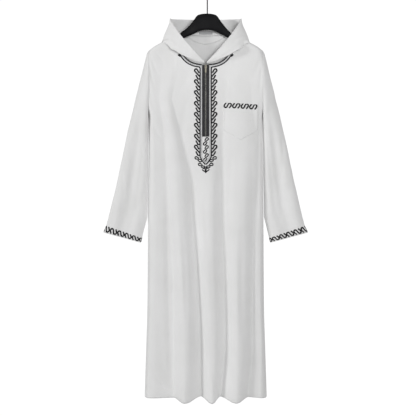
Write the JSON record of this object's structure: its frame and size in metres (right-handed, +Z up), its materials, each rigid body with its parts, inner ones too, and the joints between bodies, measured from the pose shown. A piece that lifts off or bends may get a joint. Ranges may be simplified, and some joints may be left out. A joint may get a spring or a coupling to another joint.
{
  "type": "hooded thobe robe on a hanger",
  "caption": "White hooded long-sleeved robe with a zip placket and chest pocket, hanging on a wide-shouldered hanger.",
  "frame": {"origin": "inner crown of the hanger's hook, where it rests on a rail", "axes": "+Z up, -Y the robe's front, +X the picture's right (the wearer's left)"},
  "size_m": [0.7672, 0.1274, 1.5534],
  "materials": {
    "white_cloth": "plain white weave",
    "hood_cloth": "plain white weave",
    "braid": "black cord edges with a pale braid between",
    "zip_tape": "woven black tape",
    "zip_coil_plastic": "dark coil",
    "pull_metal": "pale metal",
    "label_cloth": "blank grey label",
    "hanger_plastic": "black",
    "hook_wire": "black"
  },
  "bodies": {
    "robe": {"body_front": "white_cloth", "body_back": "white_cloth", "sleeve_left": "white_cloth", "sleeve_right": "white_cloth", "hood_left": "hood_cloth", "hood_right": "hood_cloth", "pocket": "white_cloth", "neck_facing": "white_cloth", "neck_label": "label_cloth", "trim_left_neck": "braid", "trim_right_neck": "braid", "trim_left_placket": "braid", "trim_right_placket": "braid", "zip_tape_left": "zip_tape", "zip_tape_right": "zip_tape", "zip_coil": "zip_coil_plastic", "zip_slider": "pull_metal", "hanger_body": "hanger_plastic", "hanger_hook": "hook_wire"},
    "pull": {"zip_pull": "pull_metal"}
  },
  "joints": [
    {"name": "pull_swing", "type": "hinge", "parent": "robe", "child": "pull", "pos_m": [-0.006, -0.03264, -0.2999], "axis": [-1, 0, 0], "range_deg": [0, 140]}
  ]
}
